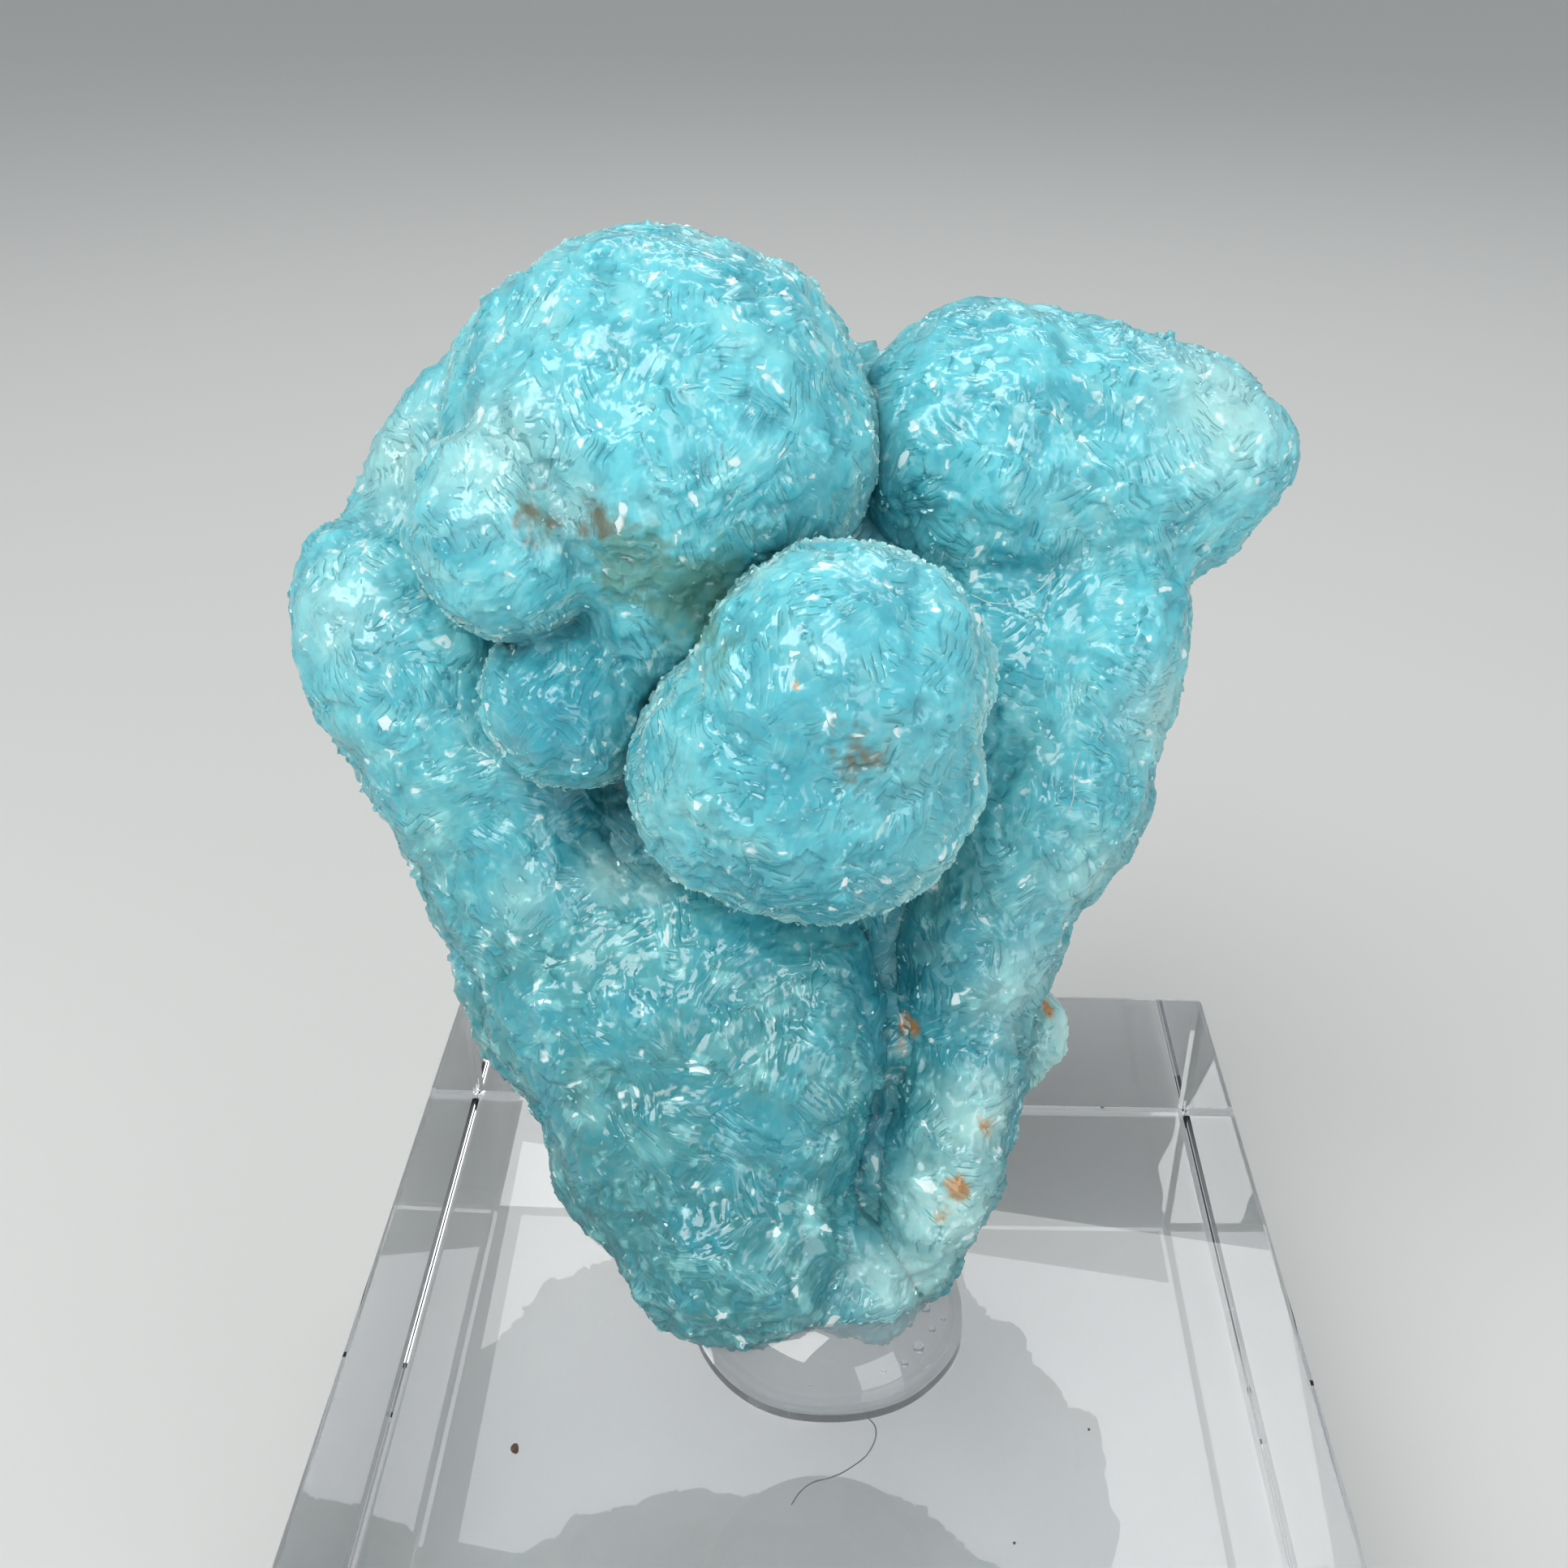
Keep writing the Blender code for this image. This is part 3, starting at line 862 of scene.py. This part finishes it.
def hemimorphite_colour(nodes):
    """The place, the specimen's colour there and the wisps in it.

    It is azure above and teal below, with painted shade in its crevices and hollows; it is pale at its thin
    edges and rims, partly from painted light there, and painted paler on the lower right where it lies in
    shade.
    """
    specimen = bpy.context.scene.specimen
    place = object_place(nodes)
    height = nodes.part(place, "Z")
    clouds = nodes.noise(place, 3.6 * MM, 2.0)
    drift = (clouds - 0.5) * (30 * MM)
    upper = nodes.ramp(height + drift, 30 * MM, 60 * MM)
    colour = nodes.mix(specimen.low_colour, specimen.high_colour, upper)
    colour = nodes.mix(colour, specimen.deep_colour, nodes.ramp(clouds, 0.50, 0.66) * 0.5)
    colour = nodes.mix(colour, specimen.milk_colour, nodes.ramp(clouds, 0.46, 0.32) * 0.3)
    wisps = nodes.noise(place + (17 * MM, 0.0, 0.0), 1.2 * MM, 2.0)
    colour = nodes.mix(colour, specimen.milk_colour, nodes.ramp(wisps, 0.54, 0.68) * 0.45)
    colour = nodes.mix(colour, specimen.deep_colour, nodes.ramp(wisps, 0.46, 0.34) * 0.35)
    colour = nodes.mix(colour, specimen.deep_colour, nodes.flag("deep") * 0.85)
    # Milky haze, partly painted light on the shaded lower right.
    colour = nodes.mix(colour, specimen.edge_colour, nodes.flag("haze") * 0.85)
    # Painted light: the rims are paled as if lit through, besides being thinner.
    colour = nodes.mix(colour, specimen.edge_colour, nodes.flag("rim") * 0.75)
    # Painted shade: the crevices and hollows are darkened to deep teal.
    return place, nodes.mix(colour, specimen.crevice_shade_colour, nodes.flag("crevice") * 0.95), wisps


def stained(nodes, place, colour):
    """A colour with the stains that the mesh carries, ragged at their edges."""
    stain = nodes.flag("stain", "COLOR")
    share = stain.also("Alpha")
    ragged = share + (nodes.noise(place, 0.7 * MM, 2.0) - 0.5) * nodes.ramp(share, 0.0, 0.2) * 1.5
    return nodes.mix(colour, stain, nodes.ramp(ragged, 0.15, 0.85) * 0.9)


def crust_surface(nodes):
    """The place, colour, polish and facing of the crust.

    Narrow crystals lie side by side, each with its own tone and tilt, with painted shade in the grooves along
    them, painted highlights on their edges and painted glints on some.
    """
    specimen = bpy.context.scene.specimen
    place, colour, wisps = hemimorphite_colour(nodes)
    squeezed, across, reach = blade_lie(nodes, place)
    cell = nodes.cells(squeezed, BLADE_LENGTH * MM, BLADE_SCATTER)
    parts = nodes.part(cell, "X")
    step = nodes.add("ShaderNodeMath", {"operation": "FRACT"}, (reach / (BLADE_PITCH * MM) + parts * 0.5,))
    shown = nodes.noise(place + (0.0, 0.0, 23 * MM), 1.6 * MM, 1.0)
    seen = nodes.ramp(shown, 0.38, 0.58, 0.30, 1.0)
    colour = nodes.mix(colour, specimen.deep_colour, nodes.ramp(parts.also("Y"), 0.45, 0.95) * seen * 0.24)
    colour = nodes.mix(colour, specimen.blade_colour, nodes.ramp(parts, 0.62, 0.95) * seen * 0.16)
    # Painted shade and highlight: each fine step is darkened on one side and lightened on the other, as light
    # falling on stepped blades would do.
    dark = nodes.ramp(step, 0.26, 0.10) * nodes.ramp(shown, 0.47, 0.62)
    painted_highlight = nodes.ramp(step, 0.72, 0.92) * nodes.ramp(wisps, 0.45, 0.62)
    colour = nodes.mix(colour, specimen.crevice_shade_colour, dark * 0.5)
    colour = nodes.mix(colour, specimen.blade_colour, painted_highlight * 0.28)
    colour = stained(nodes, place, colour)
    # Painted glints: some facets in the pale wisps are laid white, though not in the crevices.
    painted_glint = nodes.ramp(parts.also("Z"), 0.88, 0.90) * nodes.ramp(wisps, 0.56, 0.64)
    colour = nodes.mix(colour, specimen.painted_glint_colour, painted_glint * (1 - nodes.flag("crevice")) * 0.85)
    facing = nodes.add("ShaderNodeNewGeometry", None, None, "Normal")
    slope = across * ((step - 0.5) * seen * 0.45) + (cell - (0.5, 0.5, 0.5)) * (seen * 0.34)
    tilted = nodes.vector("NORMALIZE", facing + slope)
    roughness = nodes.ramp(shown, 0.35, 0.65, 0.20, 0.05) + nodes.flag("crevice") * 0.5
    return place, colour, roughness, tilted


def crust_finish():
    """Translucent hemimorphite."""

    def linked(nodes):
        _, colour, roughness, tilted = crust_surface(nodes)
        return {"Base Color": colour, "Roughness": roughness, "Normal": tilted}

    constants = {
        "Subsurface Weight": 0.6,
        "Subsurface Radius": (0.30, 0.90, 1.0),
        "Subsurface Scale": 2.0 * MM,
        "IOR": HEMIMORPHITE_INDEX,
    }
    return principled("hemimorphite", constants, linked)


def crystal_finish():
    """Glassy pale hemimorphite of the free crystals."""

    def linked(nodes):
        place, colour, _ = hemimorphite_colour(nodes)
        paler = nodes.mix(colour, bpy.context.scene.specimen.blade_colour, 0.5)
        return {"Base Color": stained(nodes, place, paler)}

    constants = {"Roughness": 0.06, "IOR": HEMIMORPHITE_INDEX, "Coat Weight": 0.5}
    return principled("hemimorphite_crystals", constants, linked)


def matrix_finish():
    """Druse on the front of the slab, and on its broken back cream and pale aqua, mottled with rust."""
    specimen = bpy.context.scene.specimen

    def linked(nodes):
        place, colour, roughness, tilted = crust_surface(nodes)
        broken = nodes.flag("broken")
        patches = nodes.noise(place, 5 * MM, 3.0)
        back = nodes.mix(specimen.matrix_colour, specimen.edge_colour, nodes.ramp(patches, 0.45, 0.60))
        rust = nodes.noise(place + (0.0, 0.0, 60 * MM), 2.6 * MM, 3.0)
        back = nodes.mix(back, MOTTLE_COLOUR, nodes.ramp(rust, 0.60, 0.72) * 0.8)
        colour = nodes.mix(colour, back, broken)
        roughness = roughness + broken * 0.45
        return {"Base Color": colour, "Roughness": roughness, "Normal": tilted}

    constants = {
        "Subsurface Weight": 0.3,
        "Subsurface Radius": (0.35, 0.9, 1.0),
        "Subsurface Scale": 1.6 * MM,
        "IOR": HEMIMORPHITE_INDEX,
    }
    return principled("hemimorphite_matrix", constants, linked)


def clear_finish(name, index, roughness, marks, gloss=0.0):
    """A clear polished material, a little rougher where it is marked by handling.

    Its gloss, from 0 to 1, is a coat that takes a little of its clearness.
    """

    def linked(nodes):
        place = object_place(nodes)
        scuffs = nodes.noise(place * (1.0, 0.12, 1.0), 0.8 * MM, 3.0)
        return {"Roughness": nodes.ramp(scuffs, 0.60, 0.75, roughness, roughness + marks)}

    constants = {
        "Base Color": (0.97, 0.98, 1.0),
        "Transmission Weight": 1.0 - GLOSS_SHARE * gloss,
        "IOR": index,
        "Coat Weight": gloss,
        "Coat Roughness": 0.02,
    }
    return principled(name, constants, linked)


def plain_finish(name, colour, roughness):
    """A dull finish whose colour varies a little."""

    def linked(nodes):
        shade = nodes.noise(object_place(nodes), 0.4 * MM, 3.0)
        darker = tuple(part * 0.55 for part in colour)
        return {"Base Color": nodes.mix(darker, colour, nodes.ramp(shade, 0.3, 0.7))}

    return principled(name, {"Roughness": roughness}, linked)


def finished(obj, slot, *nodes):
    """Puts a finished piece with the one body, and hides the CAD nodes named, which it stands for."""
    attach(obj, "root")
    if nodes:
        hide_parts(*nodes)


def smooth(mesh):
    mesh.polygons.foreach_set("use_smooth", np.ones(len(mesh.polygons), bool))
    mesh.update()


def lobe_shape(lobes):
    """The lobes of one group, overlapping and broken off level at the foot."""
    shape = bmesh.new()
    for lobe in lobes:
        add_lobe(shape, *LOBES[lobe])
    break_foot(shape)
    return shape


class MINERAL_OT_crust(bpy.types.Operator):
    """Grows the specimen's balls, pillows and wedge in groups, with the blades of the druse on them"""

    bl_idname = "mineral.crust"
    bl_label = "Crust"

    def execute(self, context):
        specimen = context.scene.specimen
        finish = crust_finish()
        tree = relief_tree()
        for name, (lobes, grid, valley) in GROUPS.items():
            obj = grow(name, lobe_shape(lobes), grid, valley)
            mark(obj.data)
            stand(obj.data)
            smooth(obj.data)
            run_tree(obj, tree, {
                "Blade height": specimen.blade_height,
                "Step height": specimen.step_height,
                "Step size": specimen.step_size,
                "Finish": finish,
            })
            if not obj.data.polygons:
                raise RuntimeError(f"{name} has no faces")
            finished(obj, "hemimorphite", "hemimorphite")
        return {"FINISHED"}


class MINERAL_OT_matrix(bpy.types.Operator):
    """Makes the slab that the lobes grow on, with druse on its front and a rough broken back"""

    bl_idname = "mineral.matrix"
    bl_label = "Matrix"

    def execute(self, context):
        specimen = context.scene.specimen
        shape = bmesh.new()
        outline = slab_mesh()
        shape.from_mesh(outline)
        bpy.data.meshes.remove(outline)
        bmesh.ops.remove_doubles(shape, verts=shape.verts, dist=0.01 * MM)
        break_foot(shape)
        obj = grow("matrix", shape, MATRIX_GRID, MATRIX_VALLEY)
        mesh = obj.data
        mark(mesh)
        points, _ = read_points(mesh)
        out = -points[:, 1]
        give(mesh, "broken", smooth_step(-out, 5.6, 7.2))
        stand(mesh)
        smooth(mesh)
        run_tree(obj, relief_tree(), {
            "Blade height": specimen.blade_height * MATRIX_BLADES,
            "Step height": specimen.step_height * MATRIX_STEPS,
            "Step size": specimen.step_size,
            "Finish": matrix_finish(),
        })
        finished(obj, "hemimorphite", "hemimorphite")
        return {"FINISHED"}


class MINERAL_OT_druse(bpy.types.Operator):
    """Scatters small free crystals over the crust and the matrix, one piece for each group of lobes"""

    bl_idname = "mineral.druse"
    bl_label = "Free crystals"

    def execute(self, context):
        specimen = context.scene.specimen
        finish = crystal_finish()
        tree = blade_tree()
        for number, name in enumerate([*GROUPS, "matrix"]):
            obj = new_object(f"{name}_crystals", bpy.data.objects[name].data.copy())
            run_tree(obj, tree, {
                "Blades": specimen.crystal_density,
                "Blade length": specimen.crystal_length,
                "Seed": specimen.seed + 10 * number,
                "Finish": finish,
            })
            if not obj.data.polygons:
                raise RuntimeError(f"no crystals grew on {name}")
            finished(obj, "hemimorphite", "hemimorphite")
        return {"FINISHED"}


class MINERAL_OT_gel(bpy.types.Operator):
    """Pours the dab of clear gel round the specimen's foot, with a few bubbles in it"""

    bl_idname = "mineral.gel"
    bl_label = "Gel"

    def execute(self, context):
        mount = context.scene.mount
        shape = bmesh.new()
        rings = []
        for i in range(1, GEL_RINGS + 1):
            angle = math.pi / 2 * i / GEL_RINGS
            out = math.sin(angle) ** (2 / GEL_SQUARENESS)
            up = max(math.cos(angle), 0.0) ** (2 / GEL_SQUARENESS)
            rings.append([gel_point(mount, out, up, turn) for turn in range(GEL_TURNS)])
        levels = [[shape.verts.new(point) for point in ring] for ring in rings]
        for lower, upper in zip(levels[1:], levels):
            for turn in range(GEL_TURNS):
                after = (turn + 1) % GEL_TURNS
                shape.faces.new((lower[turn], lower[after], upper[after], upper[turn]))
        crown = shape.verts.new(gel_point(mount, 0.0, 1.0, 0))
        for turn in range(GEL_TURNS):
            shape.faces.new((levels[0][turn], levels[0][(turn + 1) % GEL_TURNS], crown))
        shape.faces.new(reversed(levels[-1]))
        bmesh.ops.recalc_face_normals(shape, faces=shape.faces)
        obj = new_object("gel", fill_mesh(shape, "gel"))
        smooth(obj.data)
        obj.data.set_sharp_from_angle(angle=math.radians(50))
        obj.data.materials.append(clear_finish("clear_gel", mount.gel_index, 0.0, 0.02, 1.0))
        finished(obj, "clear_gel", "gel_dab")

        bubbles = bmesh.new()
        for x, y, z, radius in GEL_BUBBLES:
            place = Matrix.Translation(Vector((x, y, z)) * MM)
            bmesh.ops.create_icosphere(bubbles, subdivisions=3, radius=radius * MM, matrix=place)
        air = new_object("gel_bubbles", fill_mesh(bubbles, "gel_bubbles"))
        smooth(air.data)
        air.data.materials.append(clear_finish("gel_bubble", BUBBLE_INDEX, 0.0, 0.0))
        finished(air, "clear_gel")
        return {"FINISHED"}


def gel_point(mount, out, up, turn):
    """A point of the gel's dome, a share of its radius out and of its height up, on one of its turns."""
    angle = 2 * math.pi * turn / GEL_TURNS
    way = Vector((math.cos(angle), math.sin(angle), 0))
    uneven = noise.noise(way * 1.3 + Vector((4.0, 1.0, 2.0))) * GEL_UNEVEN * out
    centre = Vector((*GEL_CENTRE, BLOCK_TOP - GEL_SINK)) * MM
    height = mount.gel_height + (GAP + GEL_SINK) * MM
    return centre + way * (mount.gel_radius * out * (1 + uneven)) + Vector((0, 0, height * up))


class MINERAL_OT_block(bpy.types.Operator):
    """Gives the acrylic block its clear, lightly scuffed finish"""

    bl_idname = "mineral.block"
    bl_label = "Block"

    def execute(self, context):
        mount = context.scene.mount
        block = frame["nodes"]["acrylic_block"]
        finish = clear_finish("clear_acrylic", mount.acrylic_index, 0.0, 0.03)
        block.data.materials.clear()
        block.data.materials.append(finish)
        return {"FINISHED"}


def thread(name, lines, radius, finish):
    """Thin fibres along smooth lines, joined as one mesh."""
    curve = bpy.data.curves.new(name, "CURVE")
    curve.dimensions = "3D"
    curve.resolution_u = 6
    curve.bevel_depth = radius * MM
    curve.bevel_resolution = 1
    curve.use_fill_caps = True
    for points in lines:
        line = curve.splines.new("BEZIER")
        line.bezier_points.add(len(points) - 1)
        for knot, point in zip(line.bezier_points, points):
            knot.co = point
            knot.handle_left_type = knot.handle_right_type = "AUTO"
    mesh = curve_mesh(name + "_guide", curve)
    closed = bmesh.new()
    closed.from_mesh(mesh)
    bmesh.ops.remove_doubles(closed, verts=closed.verts, dist=0.0005 * MM)
    bmesh.ops.recalc_face_normals(closed, faces=closed.faces)
    closed.to_mesh(mesh)
    closed.free()
    mesh.name = name
    mesh.materials.clear()
    mesh.materials.append(finish)
    return new_object(name, mesh)


def crumb(shape, place, radius, seed):
    """Adds one rough grain."""
    spot = Matrix.Translation(place)
    made = bmesh.ops.create_icosphere(shape, subdivisions=2, radius=radius * MM, matrix=spot)
    for vert in made["verts"]:
        way = (vert.co - place).normalized()
        vert.co += way * (radius * MM * 0.5 * noise.noise(way * 1.6 + Vector((seed, 0, seed))))


class MINERAL_OT_dust(bpy.types.Operator):
    """Lays the lint on the specimen, and the hair and grit on the block"""

    bl_idname = "mineral.dust"
    bl_label = "Lint and grit"

    def execute(self, context):
        lint = [[on_specimen(*point) for point in line] for line in LINT]
        white = plain_finish("lint_fibre", LINT_COLOUR, 0.5)
        finished(thread("lint", lint, LINT_RADIUS, white), "hemimorphite")
        hair = [Vector((x, y, BLOCK_TOP + z)) * MM for x, y, z in HAIR]
        dark = plain_finish("hair_fibre", HAIR_COLOUR, 0.5)
        finished(thread("hair", [hair], HAIR_RADIUS, dark), "clear_acrylic")
        grit = bmesh.new()
        for number, (x, y, radius) in enumerate(GRIT):
            crumb(grit, Vector((x, y, BLOCK_TOP + radius * 0.7)) * MM, radius, number * 3.1)
        obj = new_object("grit", fill_mesh(grit, "grit"))
        obj.data.materials.append(plain_finish("brown_grit", GRIT_COLOUR, 0.8))
        finished(obj, "clear_acrylic")
        return {"FINISHED"}


def soft_light(name, place, size, watts, shade):
    data = bpy.data.lights.new(name, "AREA")
    data.shape = "RECTANGLE"
    data.size, data.size_y = size
    data.energy = watts
    data.color = shade
    obj = new_object(name, data)
    obj.location = place
    obj.rotation_euler = (LIT_PLACE - Vector(place)).to_track_quat("-Z", "Y").to_euler()


class MINERAL_OT_studio(bpy.types.Operator):
    """Makes the pale floor, the soft lights and the camera"""

    bl_idname = "mineral.studio"
    bl_label = "Studio"

    def execute(self, context):
        studio = context.scene.studio
        shape = bmesh.new()
        bmesh.ops.create_grid(shape, x_segments=1, y_segments=1, size=FLOOR_HALF)
        floor = new_object("floor", fill_mesh(shape, "floor"))
        floor.location.z = -FLOOR_GAP * MM
        floor.data.materials.append(plain_floor(studio))

        for name, (place, size, shade) in LIGHTS.items():
            soft_light(name, place, size, getattr(studio, f"{name}_power"), shade)
        world = bpy.data.worlds.new("room")
        world.use_nodes = True
        background = world.node_tree.nodes["Background"]
        background.inputs["Color"].default_value = (*ROOM_COLOUR, 1.0)
        background.inputs["Strength"].default_value = studio.world_strength
        context.scene.world = world
        context.scene.view_settings.view_transform = "Standard"

        lens = bpy.data.cameras.new("camera")
        lens.lens = studio.focal_length
        lens.clip_start = 0.001
        lens.clip_end = 50.0
        camera = new_object("camera", lens)
        right = Vector((math.cos(CAMERA_YAW), math.sin(CAMERA_YAW), 0))
        level = Vector((-right.y, right.x, 0))
        ahead = level * math.cos(CAMERA_PITCH) - Vector((0, 0, math.sin(CAMERA_PITCH)))
        turn = Matrix((right, right.cross(ahead), -ahead)).transposed()
        camera.matrix_world = Matrix.Translation(CAMERA_PLACE) @ turn.to_4x4()
        context.scene.camera = camera
        return {"FINISHED"}


def plain_floor(studio):
    """A pale dull floor whose colour varies very little."""

    def linked(nodes):
        shade = nodes.noise(object_place(nodes), 0.25, 2.0)
        darker = tuple(part * 0.97 for part in studio.floor_colour)
        return {"Base Color": nodes.mix(darker, tuple(studio.floor_colour), shade)}

    return principled("pale_floor", {"Roughness": 0.6}, linked)


class MINERAL_PT_panel(bpy.types.Panel):
    """Sizes and colours, and a button for each group of pieces"""

    bl_idname = "MINERAL_PT_panel"
    bl_label = "Hemimorphite"
    bl_space_type = "VIEW_3D"
    bl_region_type = "UI"
    bl_category = "Mineral"

    def draw(self, context):
        for settings in (context.scene.specimen, context.scene.mount, context.scene.studio):
            box = self.layout.box()
            for name in settings.__annotations__:
                box.prop(settings, name)
        for operator in OPERATORS:
            self.layout.operator(operator.bl_idname)


OPERATORS = (
    MINERAL_OT_crust,
    MINERAL_OT_matrix,
    MINERAL_OT_druse,
    MINERAL_OT_gel,
    MINERAL_OT_block,
    MINERAL_OT_dust,
    MINERAL_OT_studio,
)
CLASSES = (SpecimenSettings, MountSettings, StudioSettings, *OPERATORS, MINERAL_PT_panel)


def register():
    for made in CLASSES:
        bpy.utils.register_class(made)
    bpy.types.Scene.specimen = PointerProperty(type=SpecimenSettings)
    bpy.types.Scene.mount = PointerProperty(type=MountSettings)
    bpy.types.Scene.studio = PointerProperty(type=StudioSettings)


def unregister():
    del bpy.types.Scene.studio
    del bpy.types.Scene.mount
    del bpy.types.Scene.specimen
    for made in reversed(CLASSES):
        bpy.utils.unregister_class(made)


def main():
    register()
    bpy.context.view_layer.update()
    for operator in OPERATORS:
        group, name = operator.bl_idname.split(".")
        getattr(getattr(bpy.ops, group), name)()


if __name__ == "__main__":
    main()
